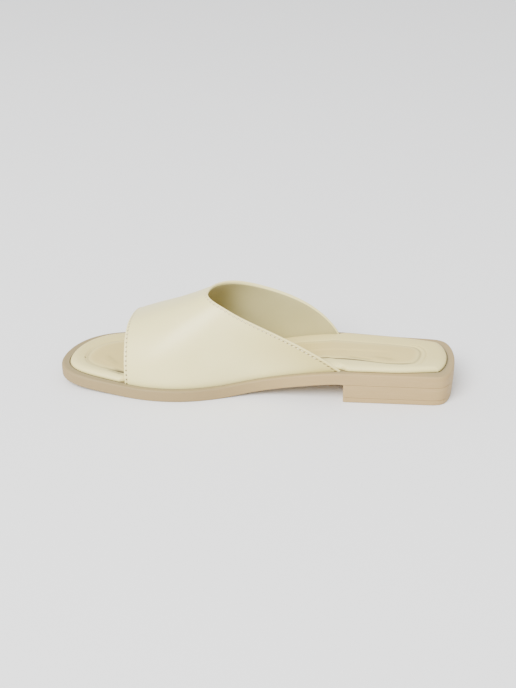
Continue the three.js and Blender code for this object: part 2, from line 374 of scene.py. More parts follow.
def topline_x(turn):
    """Where the band's rear edge stands: back at each side's foot, and forward at the throat."""
    rear = FRONT_FOOT - np.where(turn < 0.5, INNER_LENGTH, OUTER_LENGTH)
    return rear + (THROAT - rear) * read_rows(TOPLINE, "reach", 1 - np.abs(1 - 2 * turn), True)


def front_x(turn):
    """Where the band's front edge stands: bowed forward over the foot by a sine raised to a power."""
    return FRONT_FOOT + FRONT_BOW * np.clip(np.sin(np.pi * turn), 0, 1) ** BOW_POWER


def along_edge(edge_x, turn, gap, towards):
    """The x that lies a gap in from an edge, measured square to that edge on the form: the gap over the
    sine of the angle between edge and section, and over the form's length for each step in x."""
    step, small = 1e-3, 1e-5
    turns = np.clip(turn, step, 1 - step)
    edge = form(edge_x(turns + step), turns + step) - form(edge_x(turns - step), turns - step)
    line = form(edge_x(turns) + small, turns) - form(edge_x(turns) - small, turns)
    speed = np.linalg.norm(line, axis=-1) / (2 * small)
    edge /= np.linalg.norm(edge, axis=-1, keepdims=True)
    line /= np.linalg.norm(line, axis=-1, keepdims=True)
    square = np.linalg.norm(np.cross(edge, line), axis=-1)
    return edge_x(turn) + towards * gap / (square * speed)


def fold_relief(rows, along, across, size_along, size_across):
    """Height of listed folds at these places: each a bell across the line between its two ends, and
    faded out past them. Places are shares, and the sizes turn them into metres."""
    relief = np.zeros(np.broadcast(along, across).shape)
    for row in rows:
        start = np.array([row["from"][0] * size_along, row["from"][1] * size_across])
        end = np.array([row["to"][0] * size_along, row["to"][1] * size_across])
        reach = np.linalg.norm(end - start)
        ahead = (end - start) / reach
        dx, dy = along * size_along - start[0], across * size_across - start[1]
        run = (dx * ahead[0] + dy * ahead[1]) / reach
        off = dy * ahead[0] - dx * ahead[1]
        ends = between(-0.3, 0.25, 0.75, 1.3, run)
        relief += row["rise"] * MM * ends * hump(off, row["width"] * MM)
    return relief


def put_mesh(name, points, faces, material, attributes=()):
    """A mesh object from points in the drawing frame and faces of four corners, all turned outwards where
    the volume they close has the wrong sign. Attributes are values at its points."""
    corners = points[faces]
    across = np.cross(corners[:, 2] - corners[:, 0], corners[:, 3] - corners[:, 1]) / 2
    if (corners.mean(1) * across).sum() < 0:
        faces = faces[:, ::-1]
    mesh = bpy.data.meshes.new(name)
    mesh.from_pydata((points + ORIGIN).tolist(), [], faces.tolist())
    for attribute, values in attributes:
        layer = mesh.attributes.new(attribute, "FLOAT", "POINT")
        layer.data.foreach_set("value", np.asarray(values, np.float32).ravel())
    mesh.shade_smooth()
    mesh.set_sharp_from_angle(angle=np.radians(50))
    mesh.materials.append(material)
    piece = bpy.data.objects.new(name, mesh)
    bpy.context.scene.collection.objects.link(piece)
    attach(piece, "root")
    return piece


def quads_round(rows, columns, rows_close=False):
    """Four-cornered faces over a grid whose columns close into a ring, and whose rows may close too."""
    r = np.arange(rows if rows_close else rows - 1)[:, None]
    c = np.arange(columns)[None, :]
    after, beside = (r + 1) % rows, (c + 1) % columns
    quads = [r * columns + c, r * columns + beside, after * columns + beside, after * columns + c]
    return np.stack(np.broadcast_arrays(*quads), -1).reshape(-1, 4)


def strip_across(ring, columns, flip):
    """Faces that close a ring of even count by strips across it, from each point to its partner."""
    i = np.arange(columns // 2 - 1)
    quads = np.stack([i, columns - 1 - i, columns - 2 - i, i + 1], -1) + ring * columns
    return quads[:, ::-1] if flip else quads


def closed_body(rings):
    """Faces of a body lofted through rings, each end closed by strips."""
    rows, columns = rings.shape[:2]
    caps = [strip_across(0, columns, True), strip_across(rows - 1, columns, False)]
    return np.concatenate([quads_round(rows, columns), *caps])


def put_body(name, rings, material, attributes):
    """One closed body lofted through rings of points."""
    return put_mesh(name, rings.reshape(-1, 3), closed_body(rings), material, attributes)


def pair_turns(count):
    """Turns set half a step off the heel's back, so that each has a partner across the foot."""
    return (np.arange(count) + 0.5) / count


def spine(points, inner, outer, keep):
    """The foot's middle line under each point, its ends drawn in so that a body can close on it."""
    x = LENGTH / 2 + (points[..., 0] - LENGTH / 2) * keep
    return np.stack([x, (inner(x) + outer(x)) / 2], -1)


def with_height(flat, z):
    """Points over flat ones, at heights z."""
    return np.concatenate([flat, np.expand_dims(z, -1)], -1)


def quarter_round(radius, steps):
    """A quarter circle as pairs of how far inwards and how far up, from the flat to the upright side."""
    angle = np.linspace(0, np.pi / 2, steps)
    return list(zip(radius * (1 - np.sin(angle)), radius * (1 - np.cos(angle))))


def tread(flat, edge_gap):
    """Depth of the tread's grooves: half of 1 less a cosine, to the power 0.7, in even waves along the foot
    that bend back towards the sides by y squared. None near the edge, at the arch and past the spring."""
    x, y = flat[..., 0], flat[..., 1]
    wave = 0.5 - 0.5 * np.cos(2 * np.pi * (x + TREAD_SWEEP * y**2) / TREAD_PITCH)
    fore = between(TREAD_FROM, TREAD_FULL, TREAD_FADE, TREAD_TO, x / LENGTH)
    heel = between(0, TREAD_BACK * LENGTH, HEEL_LENGTH - BREAST_FADE, HEEL_LENGTH - BREAST_BARE, x)
    inside = ease(0.7 * TREAD_MARGIN, TREAD_MARGIN, edge_gap)
    return TREAD_DEPTH * wave**0.7 * inside * np.maximum(fore, heel)


def make_outsole(material):
    """The moulded sole, as rings: out over the treaded underside, up the softly bulged side, in over the
    rim, down its groove and in over the seat. Each ring is an inset outline or lies between it and the
    middle line, and its bulge is a half sine of the height. Points carry painted shade on the rim,
    less beside the heel; dirt in the tread and painted shade in the groove, both more beside the band;
    and painted shade on the forefoot."""
    turns = pair_turns(1200)
    edge = outline(turns)
    along = edge[:, 0]
    middle = spine(edge, *two_sides(lambda x: 0 * x), SPINE_KEEP)
    lower = mix(SEAM_ROUND, LOWER_ROUND, ease(HEEL_LENGTH - 2 * MM, HEEL_LENGTH + 4 * MM, along))
    upper = UPPER_ROUND * mix(1, TOE_ROUNDER, ease(0.85 * LENGTH, 0.97 * LENGTH, along))
    width = rim_width(along)
    rings, rim_shade, dirt = [], [], []

    def add(flat, height, rim_shaded=0, dirtied_and_shaded=0):
        rings.append(with_height(flat, height))
        rim_shade.append(rim_shaded + 0 * along)
        dirt.append(dirtied_and_shaded + 0 * along)

    for share in np.linspace(0.985, 0, 24) ** 1.15:
        flat = mix(outline(turns, lower), middle, share)
        groove = tread(flat, share * np.linalg.norm(edge - middle, axis=-1)) * (flat[:, 0] > HEEL_LENGTH)
        add(flat, underside(flat[:, 0]) + groove, 0, groove / TREAD_DEPTH)
    for inwards, up in quarter_round(1, 5)[1:]:
        flat = outline(turns, lower * inwards)
        add(flat, underside(flat[:, 0]) + lower * up)
    shoulder = SOLE_THICKNESS - TOE_ROUNDER * UPPER_ROUND
    for share in np.linspace(0.12, 0.88, 7):
        flat = outline(turns, WALL_BULGE * (1 - np.sin(np.pi * share)))
        add(flat, underside(flat[:, 0]) + mix(lower, shoulder, share))
    for inwards, up in quarter_round(1, 7)[::-1]:
        flat = outline(turns, upper * inwards)
        add(flat, rim_level(flat[:, 0]) - upper * up, 0.4 * inwards**0.5)
    for row in RIM_PROFILE:
        flat = outline(turns, mix(upper, width - RIM_GROOVE, row["across"]))
        add(flat, rim_level(flat[:, 0]) - row["dip"] * MM, row["rim_shade"], row["dirt"])
    seat = outline(turns, width - RIM_GROOVE)
    for down in (0.08 * MM, SEAT_DEPTH * 0.6, SEAT_DEPTH):
        add(seat, rim_level(seat[:, 0]) - down, 1, 1)
    for share in (0.3, 0.7, 0.985):
        flat = mix(seat, middle, share)
        add(flat, rim_level(flat[:, 0]) - SEAT_DEPTH, 1, 1)
    beside_heel = between(12 * MM, 28 * MM, 60 * MM, 74 * MM, along)
    rear = FRONT_FOOT - INNER_LENGTH
    beside_band = between(rear - 4 * MM, rear + 4 * MM, FRONT_FOOT, FRONT_FOOT + 8 * MM, along)
    # Painted shade on the rim's top and corner, less beside the heel
    rim = np.stack(rim_shade) * mix(1, HEEL_RIM_SHADE, beside_heel)
    # Dirt in the tread, and painted shade in the rim's groove and seat, both more beside the band
    dirt = np.stack(dirt) * mix(OPEN_DIRT_AND_SHADE, 1, beside_band)
    # Painted shade over the forefoot, growing towards the ball
    forefoot = np.ones(dirt.shape) * ease(ARCH_MIDDLE * LENGTH, FOOT_BALL["at"] * LENGTH, along)
    masks = [("rim", rim), ("dirt", dirt), ("forefoot", forefoot)]
    sole = put_body("outsole_rubber", np.stack(rings), material, masks)
    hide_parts("outsole")


def heel_flat(inwards, level, count):
    """The heel's plan at a height: the outline drawn in by its taper, from one corner of the breast
    round the back to the other, with each breast corner rounded off."""
    quarter = np.linspace(0, 0.25, 400)
    breast_turn = np.interp(HEEL_LENGTH, outline(quarter)[:, 0], quarter)
    turns = breast_turn * (np.arange(count // 2) + 0.5) / (count // 2)
    turns = np.concatenate([turns, 1 - turns[::-1]])
    x = outline(turns)[:, 0]
    taper = mix(HEEL_TAPER, BACK_TAPER, round_heel(x)) * (1 - level / HEEL_HEIGHT)
    flat = outline(turns, taper + inwards)
    near = np.clip((flat[:, 0] - HEEL_LENGTH) / BREAST_REACH + 1, 0, 1)
    flat[:, 0] = np.minimum(flat[:, 0], HEEL_LENGTH - inwards)
    flat[:, 1] -= np.sign(flat[:, 1]) * BREAST_ROUND * (1 - np.sqrt(1 - near**2))
    return flat


def heel_body(name, node, low, high, low_round, material, treaded=False):
    """A layer of the heel, as rings from the middle of its underside out, up its side and in again, its
    lower corner a quarter circle and its upper one a seam's."""
    count = 720
    plan = heel_flat(low_round, low, count)
    middle = np.stack([mix(HEEL_LENGTH / 2, plan[:, 0], 0.75), 0 * plan[:, 1]], -1)
    rings, dirt = [], []

    def add(flat, level, dirtied_and_shaded=0):
        rings.append(with_height(flat, level + np.zeros(count)))
        dirt.append(dirtied_and_shaded + np.zeros(count))

    for share in np.linspace(0.97, 0, 16):
        flat = mix(plan, middle, share)
        groove = tread(flat, share * np.linalg.norm(plan - middle, axis=-1)) if treaded else 0
        add(flat, low + groove, groove / TREAD_DEPTH)
    for inwards, up in quarter_round(low_round, 5)[1:]:
        add(heel_flat(inwards, low + up, count), low + up)
    for share in (0.3, 0.7):
        level = mix(low + low_round, high - SEAM_ROUND, share)
        add(heel_flat(0, level, count), level)
    for inwards, down in quarter_round(SEAM_ROUND, 5)[::-1]:
        add(heel_flat(inwards, high - down, count), high - down)
    layer = put_body(name, np.stack(rings), material, [("dirt", np.stack(dirt))])
    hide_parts(node)


def insole_edge(turns, inwards=0):
    """The insole's edge: the rim's inner line, stepped in where the upper's wall stands."""
    x = outline(turns)[:, 0]
    rear = FRONT_FOOT - np.where(np.sin(2 * np.pi * turns) > 0, INNER_LENGTH, OUTER_LENGTH)
    front = FRONT_FOOT + CLEARANCE
    beside = between(rear - INSOLE_TUCK, rear - CLEARANCE, front, FRONT_FOOT + INSOLE_TUCK, x)
    return outline(turns, rim_width(x) + (WALL + INSOLE_GAP) * beside + inwards)


def pressed_line(turns):
    """The line pressed into the insole: its edge drawn in along the foot to the heel's and toe's borders,
    and across it by the side's border, wider at the arch."""
    edge = insole_edge(turns)
    low, high = edge[:, 0].min(), edge[:, 0].max()
    x = np.interp(edge[:, 0], [low, high], [low + HEEL_BORDER, high - TOE_BORDER])
    at_ball = ease(FOOT_HEEL["at"] * LENGTH, FOOT_BALL["at"] * LENGTH, x)
    half = WIDTH * mix(FOOT_HEEL["half"], FOOT_BALL["half"], at_ball)
    arch = between(ARCH_FROM, ARCH_FULL, ARCH_FADE, ARCH_TO, x / LENGTH)
    corner = HEEL_CORNER["fuller"] * hump(x - HEEL_CORNER["at"], HEEL_CORNER["width"])
    inner = INNER_BORDER + ARCH_BORDER * arch - corner
    border = np.where(np.sin(2 * np.pi * turns) > 0, inner, OUTER_BORDER)
    return np.stack([x, edge[:, 1] * (1 - border / half)], -1)


def make_insole(material):
    """The padded insole, as rings: up its rolled edge, over the puffed border, down into the pressed line
    and over the crowned panel to the middle line. Height over the rim's level is a quarter ellipse at the
    roll, a half sine across the border, less a bell at the line, and over the panel a crown that rises
    with 1 - e to the minus the gap; the wrinkles come on top. Each point carries how deep in shade of the
    pressed line it lies, and how much of the panel's tone it has."""
    turns = pair_turns(960)
    edge = insole_edge(turns)
    line = pressed_line(turns)
    middle = np.stack([mix(LENGTH / 2, line[:, 0], 0.88), 0.06 * line[:, 1]], -1)
    border = np.linalg.norm(line - edge, axis=-1)
    depth = np.linalg.norm(middle - line, axis=-1)
    at_heel = 1 - ease(PRESS_HEEL["from"], PRESS_HEEL["to"], line[:, 0])
    at_toe = ease(PRESS_TOE["from"], PRESS_TOE["to"], line[:, 0])
    at_side = mix(ease(-PRESS_SIDES, PRESS_SIDES, line[:, 1]), PRESS_SHARE["heel"], at_heel)
    press_share = mix(PRESS_SHARE["outer side"], 1, at_side * mix(1, PRESS_SHARE["toe"], at_toe))
    press_depth = PRESS_DEPTH * press_share
    rings, press, panel = [], [], []

    def add(flat, height, pressed=0, within=0, supple=0):
        relief = fold_relief(INSOLE_FOLDS, flat[:, 0] / LENGTH, flat[:, 1] / WIDTH, LENGTH, WIDTH)
        rings.append(with_height(flat, rim_level(flat[:, 0]) + height + relief * supple))
        # This mark is painted shade along the pressed line and in the wrinkles' troughs
        press.append(pressed + WRINKLE_SHADE * supple * np.clip(-relief / WRINKLE_DEPTH, 0, 1))
        outwards = 1 - ease(OUTER_TONE["full"], OUTER_TONE["none"], flat[:, 1])
        panel.append(np.maximum(within, OUTER_TONE["share"] * outwards))

    roll = INSOLE_EDGE - INSOLE_ROLL
    add(insole_edge(turns, 0.3 * MM), SEAT_FOOT)
    add(edge, SEAT_FOOT + 0.3 * MM)
    add(edge, roll)
    for share in ease(0, 1, np.linspace(0, 1, 34)[1:]):
        gap = border * share
        lean = np.clip(1 - gap / ROLL_WIDTH, 0, 1)
        rise = INSOLE_ROLL * np.sqrt(1 - lean**2)
        puff = BORDER_PUFF * np.sin(np.pi * share)
        pressed = hump(border - gap, PRESS_WIDTH)
        behind = border - gap - SECOND_PRESS["behind"]
        second = hump(behind, SECOND_PRESS["width"]) * SECOND_PRESS["share"] * at_heel
        sunk = press_depth * pressed + PRESS_DEPTH * second
        shade = (hump(gap - border - PRESS_LEAN, PRESS_SHADE) + second) * press_share
        add(mix(edge, line, share), roll + rise + puff - sunk, shade, 0, ease(MM, 3 * MM, gap))
    for share in np.linspace(0, 0.985, 26)[1:] ** 1.5:
        gap = depth * share
        crown = PANEL_CROWN * (1 - np.exp(-gap / PANEL_ROUND))
        sunk = press_depth * mix(1 - ease(0, 3 * MM, gap), 1, PANEL_SINK)
        shade = hump(gap - PRESS_LEAN, PRESS_SHADE) * press_share
        add(mix(line, middle, share), INSOLE_EDGE - sunk + crown, shade, ease(-2 * MM, 6 * MM, gap), 1)
    masks = [("press", np.stack(press)), ("panel", np.stack(panel))]
    pad = put_body("insole_pad", np.stack(rings), material, masks)
    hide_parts("insole")


def band_stations(turn, start):
    """The x of points from the front edge to the topline, close together near both: gaps measured square
    to each edge, and even steps between. Returns x, the gap to the nearer edge, which grows no further than
    the margin, and 1 where that edge is the topline."""
    near = (start + EDGE_MARGIN * (np.arange(23) / 22) ** 1.5)[:, None] + 0 * turn
    even = (np.arange(1, 60) / 60)[:, None] + 0 * turn
    front = along_edge(front_x, turn, near, -1)
    top = along_edge(topline_x, turn, near, 1)
    x = np.concatenate([front, mix(front[-1], top[-1], even), top[::-1]])
    gap = np.concatenate([near, 0 * even + start + EDGE_MARGIN, near[::-1]])
    at_top = np.concatenate([0 * near, np.round(even), 0 * near + 1])
    return x, gap, at_top


def surface_normals(points):
    """Unit normals of a grid of points, from its steps both ways."""
    across = np.cross(np.gradient(points, axis=0), np.gradient(points, axis=1))
    return across / np.maximum(np.linalg.norm(across, axis=-1, keepdims=True), 1e-12)


def arc_length(line):
    """The way run along a line of points, from its first one."""
    steps = np.linalg.norm(np.diff(line, axis=0), axis=-1)
    return np.concatenate([[0], np.cumsum(steps)])


def band_marks(x, turn, gap, at_top):
    """The shell's relief outwards and its marks. Relief is the listed folds, none at edges and feet,
    a bead beside the edge and a groove under the stitches. Marks are the gap to the edge, the run along
    it, and how near a point lies to a flap's rear end."""
    share = (front_x(turn) - x) / (front_x(turn) - topline_x(turn))
    folds = fold_relief(BAND_FOLDS, share, turn + 0 * x, BAND_SPREAD["along"], BAND_SPREAD["over"])
    foot = between(0.02, 0.08, 0.92, 0.98, turn)
    bead = EDGE_BEAD["rise"] * hump(gap - EDGE_BEAD["in"], EDGE_BEAD["width"])
    groove = SEW_GROOVE["depth"] * hump(gap - SEW_INSET, SEW_GROOVE["width"])
    relief = folds * foot * ease(0, 2.5 * SEW_INSET, gap) + (bead - groove) * ease(0, 0.5 * MM, gap)
    top_run = arc_length(form(topline_x(turn[0]), turn[0]))
    front_run = arc_length(form(front_x(turn[0]), turn[0]))
    run = np.where(at_top > 0, top_run, front_run)
    # The flap mark is painted shade, darker towards each flap's rear end
    flap = (1 - ease(0.05, 0.45, 1 - np.abs(1 - 2 * turn))) * ease(0.6, 1, share)
    return relief, run, flap


def band_skin(name, start, depth_out, depth_in, turns, material, sewn=False):
    """A layer of the band, closed round its edges: the form's surface at two depths, joined at front and
    topline by a half circle, so that the depth at a gap from the edge is that circle's. A sewn layer has
    relief and marks outside; inside, its gap is a metre, so that no fold or hole shows there."""
    turn = turns[None, :]
    x, gap, at_top = band_stations(turn, start)
    radius = (depth_in - depth_out) / 2
    lean = np.clip(1 - (gap - start) / radius, 0, 1)
    curve = radius * (1 - np.sqrt(1 - lean**2))
    outer = form(x, turn, depth_out + curve)
    inner = form(x, turn, depth_in - curve)
    marks = []
    if sewn:
        normal = surface_normals(form(x, turn))
        normal *= np.sign(normal[..., 2].sum())
        relief, run, flap = band_marks(x, turn, gap, at_top)
        outer = outer + normal * np.expand_dims(relief, -1)
        far = np.ones(gap.shape)
        marks = [("edge_gap", gap, far), ("edge_run", run, run), ("flap", flap, flap)]
    grid = np.concatenate([outer, inner[::-1]]).transpose(1, 0, 2)
    masks = [(label, np.concatenate([outside, inside]).T) for label, outside, inside in marks]
    return put_body(name, grid, material, masks)


def make_upper(leather, lining):
    """The band's leather shell with rounded folded edges, and the lining that lies inside it."""
    shell = band_skin("upper_shell", 0, 0, WALL, np.linspace(0, 1, 361), leather, sewn=True)
    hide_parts("upper")
    turns = np.linspace(0.001, 0.999, 281)
    band_skin("upper_lining", LINING_INSET, WALL - LINING_LAP, WALL + LINING_THICKNESS, turns, lining)


def sewing(name, edge_x, towards, thread):
    """A row of stitches beside an edge: each a thread that rises from one hole and dips into the next,
    its height half a sine of its run, its section a circle of six points that shrinks at both ends."""
    turns = np.linspace(SEWN_FROM, SEWN_TO, 2400)
    line = form(along_edge(edge_x, turns, SEW_INSET, towards), turns)
    side = form(along_edge(edge_x, turns, SEW_INSET + 0.2 * MM, towards), turns) - line
    run = arc_length(line)
    count = int(run[-1] / SEW_PITCH)
    share = np.linspace(THREAD_START, THREAD_END, 7)
    at = (np.arange(count)[:, None] + share) * SEW_PITCH

    def read(values):
        return np.stack([np.interp(at, run, values[:, k]) for k in range(3)], -1)

    centre, beside = read(line), read(side)
    ahead = np.gradient(centre, axis=1)
    ahead /= np.linalg.norm(ahead, axis=-1, keepdims=True)
    beside -= ahead * (beside * ahead).sum(-1, keepdims=True)
    beside /= np.linalg.norm(beside, axis=-1, keepdims=True)
    out = np.cross(ahead, beside)
    out *= np.sign(out[..., 2].sum())
    swell = np.sin(np.pi * np.linspace(0, 1, 7))
    rise = THREAD_RISE * swell - THREAD_DIP
    thick = THREAD_RADIUS * mix(0.45, 1, np.sqrt(np.clip(swell, 0, 1)))
    angle = np.arange(6) * np.pi / 3
    ring = np.cos(angle)[:, None] * beside[..., None, :] + np.sin(angle)[:, None] * out[..., None, :]
    points = (centre + out * rise[:, None])[..., None, :] + ring * thick[:, None, None]
    first_of_each = np.arange(count)[:, None, None] * points[0, ..., 0].size
    faces = (closed_body(points[0]) + first_of_each).reshape(-1, 4)
    put_mesh(name, points.reshape(-1, 3), faces, thread)


def srgb(red, green, blue):
    """A screen colour from 0 to 255 as linear light."""
    value = np.array([red, green, blue]) / 255
    linear = np.where(value <= 0.04045, value / 12.92, ((value + 0.055) / 1.055) ** 2.4)
    return (*linear.tolist(), 1)


def new_node(tree, kind, label, **inputs):
    node = tree.nodes.new(kind)
    node.label = label
    for socket, value in inputs.items():
        node.inputs[socket.replace("_", " ")].default_value = value
    return node


def math_node(tree, operation, label, first, second=None, clamp=False):
    """A Math node; each input is a number or a socket."""
    node = tree.nodes.new("ShaderNodeMath")
    node.operation, node.label, node.use_clamp = operation, label, clamp
    for socket, value in zip(node.inputs, (first, second)):
        if isinstance(value, bpy.types.NodeSocket):
            tree.links.new(value, socket)
        elif value is not None:
            socket.default_value = value
    return node.outputs[0]


def fade(tree, label, distance, width, full=1.0):
    """Full where the distance is 0, less by 1 for each width further off, kept between 0 and 1."""
    widths = math_node(tree, "DIVIDE", label + " in widths", distance, width)
    return math_node(tree, "SUBTRACT", label, full, widths, clamp=True)


def blend_colour(tree, label, factor, first, second):
    """A Mix node of two colours; each input is a value or a socket."""
    node = tree.nodes.new("ShaderNodeMix")
    node.data_type, node.label = "RGBA", label
    for socket, value in ((node.inputs[0], factor), (node.inputs[6], first), (node.inputs[7], second)):
        if isinstance(value, bpy.types.NodeSocket):
            tree.links.new(value, socket)
        else:
            socket.default_value = value
    return node.outputs[2]


def grain_group():
    """Leather grain: small rounded cells over a finer noise, and a slow mottle of the tanned hide."""
    group = bpy.data.node_groups.new("leather_grain", "ShaderNodeTree")
    group.interface.new_socket("Vector", in_out="INPUT", socket_type="NodeSocketVector")
    group.interface.new_socket("Cells per Metre", in_out="INPUT", socket_type="NodeSocketFloat")
    group.interface.new_socket("Height", in_out="OUTPUT", socket_type="NodeSocketFloat")
    group.interface.new_socket("Mottle", in_out="OUTPUT", socket_type="NodeSocketFloat")
    inputs = group.nodes.new("NodeGroupInput")
    outputs = group.nodes.new("NodeGroupOutput")
    vector, scale = inputs.outputs["Vector"], inputs.outputs["Cells per Metre"]
    cells = new_node(group, "ShaderNodeTexVoronoi", "grain cells", Randomness=0.9)
    fine = new_node(group, "ShaderNodeTexNoise", "pores", Detail=4.0, Roughness=0.6)
    slow = new_node(group, "ShaderNodeTexNoise", "hide mottle", Scale=38.0, Detail=3.0, Roughness=0.55)
    for node in (cells, fine, slow):
        group.links.new(vector, node.inputs["Vector"])
    group.links.new(scale, cells.inputs["Scale"])
    group.links.new(math_node(group, "MULTIPLY", "finer", scale, 2.3), fine.inputs["Scale"])
    rounded = math_node(group, "POWER", "rounded cells", cells.outputs["Distance"], 0.6)
    pores = math_node(group, "MULTIPLY", "pore depth", fine.outputs[0], 0.6)
    height = math_node(group, "ADD", "grain", rounded, pores)
    group.links.new(height, outputs.inputs["Height"])
    group.links.new(slow.outputs[0], outputs.inputs["Mottle"])
    return group


def finish_material(name, **sockets):
    """A material with its shader's plain values on the shader's own sockets."""
    material = bpy.data.materials.new(name)
    material.use_nodes = True
    tree = material.node_tree
    shader = tree.nodes["Principled BSDF"]
    for socket, value in sockets.items():
        shader.inputs[socket.replace("_", " ")].default_value = value
    place = tree.nodes.new("ShaderNodeTexCoord").outputs["Object"]
    return material, tree, shader, place


def add_grain(tree, group, place, cells_per_metre):
    node = tree.nodes.new("ShaderNodeGroup")
    node.node_tree = group
    node.label = "grain"
    tree.links.new(place, node.inputs["Vector"])
    node.inputs["Cells per Metre"].default_value = cells_per_metre
    return node.outputs["Height"], node.outputs["Mottle"]


def add_bump(tree, shader, height, depth, strength=1.0):
    bump = new_node(tree, "ShaderNodeBump", "relief", Strength=strength, Distance=depth)
    tree.links.new(height, bump.inputs["Height"])
    tree.links.new(bump.outputs[0], shader.inputs["Normal"])


def vary_roughness(tree, shader, source, low, high):
    spread = new_node(tree, "ShaderNodeMapRange", "gloss varies", To_Min=low, To_Max=high)
    tree.links.new(source, spread.inputs[0])
    tree.links.new(spread.outputs[0], shader.inputs["Roughness"])


def attribute(tree, name):
    node = tree.nodes.new("ShaderNodeAttribute")
    node.attribute_name = name
    node.label = name.replace("_", " ")
    return node.outputs["Fac"]


def upper_leather(grain):
    """Smooth satin cream leather with a painted highlight on the folded edge and painted shade towards the
    flaps' rear ends, and a needle hole at each end of a stitch.
    """
    material, tree, shader, place = finish_material("upper_leather", Coat_Weight=0.55, Coat_Roughness=0.34)
    height, mottle = add_grain(tree, grain, place, 1.5 / MM)
    body = blend_colour(tree, "hide tone", mottle, srgb(237, 226, 153), srgb(244, 233, 167))
    # Painted shade: the leather is drawn darker towards each flap's rear end
    body = blend_colour(tree, "painted shade on the flap", attribute(tree, "flap"), body, srgb(212, 196, 120))
    gap = attribute(tree, "edge_gap")
    # Painted highlight: the folded edge is drawn paler, where light catches its bead
    fold_highlight = fade(tree, "on the fold", gap, FOLD_HIGHLIGHT_WIDTH)
    body = blend_colour(tree, "folded edge", fold_highlight, body, srgb(252, 238, 168))
    off = math_node(tree, "SUBTRACT", "off the row", gap, SEW_INSET)
    row = fade(tree, "on the row", math_node(tree, "ABSOLUTE", "to the row", off), SEWN_ROW)
    row = math_node(tree, "MULTIPLY", "half", row, 0.5)
    body = blend_colour(tree, "shade of the sewn row", row, body, srgb(196, 178, 112))
    stitches = math_node(tree, "DIVIDE", "stitches", attribute(tree, "edge_run"), SEW_PITCH)
    along = math_node(tree, "PINGPONG", "stitches from a hole", stitches, 0.5)
    along = math_node(tree, "MULTIPLY", "run from a hole", along, SEW_PITCH)
    along_squared = math_node(tree, "MULTIPLY", "run squared", along, along)
    off_squared = math_node(tree, "MULTIPLY", "off squared", off, off)
    squares = math_node(tree, "ADD", "squares", along_squared, off_squared)
    hole = fade(tree, "needle hole", math_node(tree, "SQRT", "from the hole", squares), HOLE_RADIUS, 1.8)
    body = blend_colour(tree, "needle holes", hole, body, srgb(104, 84, 48))
    tree.links.new(body, shader.inputs["Base Color"])
    vary_roughness(tree, shader, mottle, 0.36, 0.5)
    relief = math_node(tree, "MULTIPLY", "grain share", height, 0.4)
    add_bump(tree, shader, math_node(tree, "SUBTRACT", "grain and holes", relief, hole), 0.22 * MM, 0.8)
    return material


def lining_leather(grain):
    """Olive-beige split leather with a short nap."""
    sheen = {"Sheen_Weight": 0.15, "Sheen_Roughness": 0.5}
    material, tree, shader, place = finish_material("lining_leather", **sheen)
    height, mottle = add_grain(tree, grain, place, 2.3 / MM)
    body = blend_colour(tree, "lining tone", mottle, srgb(178, 169, 117), srgb(192, 184, 133))
    tree.links.new(body, shader.inputs["Base Color"])
    vary_roughness(tree, shader, mottle, 0.62, 0.78)
    add_bump(tree, shader, height, 0.13 * MM, 0.8)
    return material


def insole_leather(grain):
    """Soft cream leather over padding: the panel a little pinker and duller, and painted shade in the
    pressed line and in the wrinkles' troughs.
    """
    material, tree, shader, place = finish_material("insole_leather", Coat_Weight=0.06, Coat_Roughness=0.45)
    height, mottle = add_grain(tree, grain, place, 1.3 / MM)
    border = blend_colour(tree, "border tone", mottle, srgb(233, 219, 148), srgb(240, 228, 161))
    panel = blend_colour(tree, "panel tone", mottle, srgb(213, 191, 118), srgb(221, 201, 130))
    body = blend_colour(tree, "panel", attribute(tree, "panel"), border, panel)
    # Painted shade: the pressed line and the wrinkles' troughs are drawn dark
    dark = math_node(tree, "POWER", "line", attribute(tree, "press"), 1.5)
    dark = math_node(tree, "MULTIPLY", "painted shade in the pressed line", dark, 1.5, clamp=True)
    body = blend_colour(tree, "pressed line", dark, body, srgb(94, 83, 54))
    level = new_node(tree, "ShaderNodeMapping", "level", Scale=(1.0, 1.0, 0.0))
    tree.links.new(place, level.inputs["Vector"])
    away = new_node(tree, "ShaderNodeVectorMath", "away from the pin")
    away.operation = "DISTANCE"
    tree.links.new(level.outputs[0], away.inputs[0])
    away.inputs[1].default_value = ORIGIN + [PIN["along"] * LENGTH, PIN["across"] * WIDTH, 0]
    pin = fade(tree, "pin hole", away.outputs["Value"], PIN_RADIUS, 1.5)
    body = blend_colour(tree, "dark pin hole", pin, body, srgb(92, 76, 48))
    tree.links.new(body, shader.inputs["Base Color"])
    vary_roughness(tree, shader, mottle, 0.44, 0.58)
    relief = math_node(tree, "MULTIPLY", "grain share", height, 0.55)
    add_bump(tree, shader, math_node(tree, "SUBTRACT", "grain and pin", relief, pin), 0.16 * MM, 0.7)
    return material


